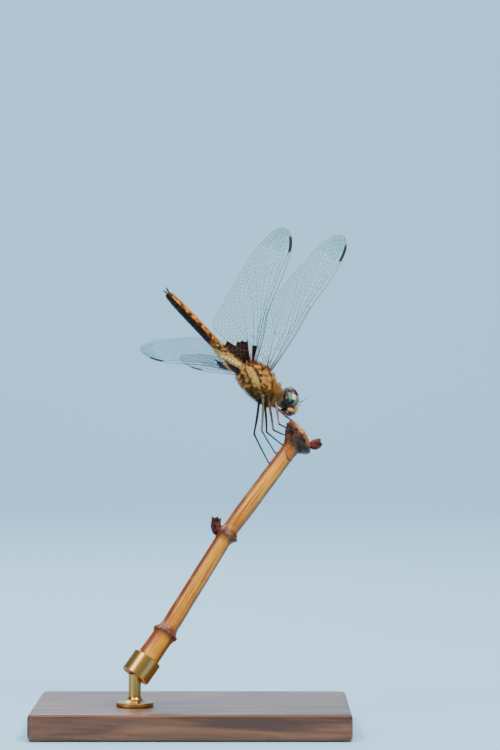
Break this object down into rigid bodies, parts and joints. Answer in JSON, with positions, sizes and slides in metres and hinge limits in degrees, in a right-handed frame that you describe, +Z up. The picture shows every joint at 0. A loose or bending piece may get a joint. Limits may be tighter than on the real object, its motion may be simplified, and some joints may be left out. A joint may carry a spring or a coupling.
{
  "type": "dragonfly model",
  "caption": "Life-size still model of a perching dragonfly, head down and wings raised, gripping the tip of a cut twig that a rod holds above a flat base.",
  "frame": {"origin": "centre of the stand's underside, on the surface it rests on", "axes": "+Z up, +X towards the side the animal faces, so -Y is the side the wings' undersides are seen from"},
  "size_m": [0.076, 0.0722, 0.1212],
  "materials": {
    "eye": "glossy, banded grey-green",
    "head_back": "black, glossy",
    "face": "yellow-orange, satin",
    "mouth": "dark brown, satin",
    "neck": "dark brown, matt",
    "thorax": "hairy, mottled olive-brown",
    "abdomen": "orange above and black below, satin",
    "leg": "purple-black, satin",
    "wing": "clear membrane with dark veins",
    "twig": "smooth yellow-brown bark",
    "knot": "rough dark brown bark",
    "bud": "dark red-brown bud scales",
    "wood": "oiled, satin",
    "brass": "polished"
  },
  "bodies": {
    "root": {"abdomen_01": "abdomen", "abdomen_02": "abdomen", "abdomen_03": "abdomen", "abdomen_04": "abdomen", "abdomen_05": "abdomen", "abdomen_06": "abdomen", "abdomen_07": "abdomen", "abdomen_08": "abdomen", "abdomen_09": "abdomen", "abdomen_10": "abdomen", "antenna_left": "leg", "antenna_right": "leg", "cercus_left": "leg", "cercus_right": "leg", "clypeus": "face", "eye_left": "eye", "eye_right": "eye", "frons": "face", "head": "head_back", "labium": "mouth", "labrum": "face", "leg_fore_left_femur": "leg", "leg_fore_left_tarsus": "leg", "leg_fore_left_tibia": "leg", "leg_fore_right_femur": "leg", "leg_fore_right_tarsus": "leg", "leg_fore_right_tibia": "leg", "leg_hind_left_femur": "leg", "leg_hind_left_tarsus": "leg", "leg_hind_left_tibia": "leg", "leg_hind_right_femur": "leg", "leg_hind_right_tarsus": "leg", "leg_hind_right_tibia": "leg", "leg_mid_left_femur": "leg", "leg_mid_left_tarsus": "leg", "leg_mid_left_tibia": "leg", "leg_mid_right_femur": "leg", "leg_mid_right_tarsus": "leg", "leg_mid_right_tibia": "leg", "neck": "neck", "prothorax": "thorax", "stand_base": "wood", "stand_rod": "brass", "stand_socket": "brass", "thorax": "thorax", "twig_bud": "bud", "twig_crown": "knot", "twig_lower": "twig", "twig_middle": "twig", "twig_node_lower": "knot", "twig_node_upper": "knot", "twig_spur": "bud", "twig_upper": "twig", "wing_fore_left": "wing", "wing_fore_right": "wing", "wing_hind_left": "wing", "wing_hind_right": "wing"}
  },
  "joints": []
}
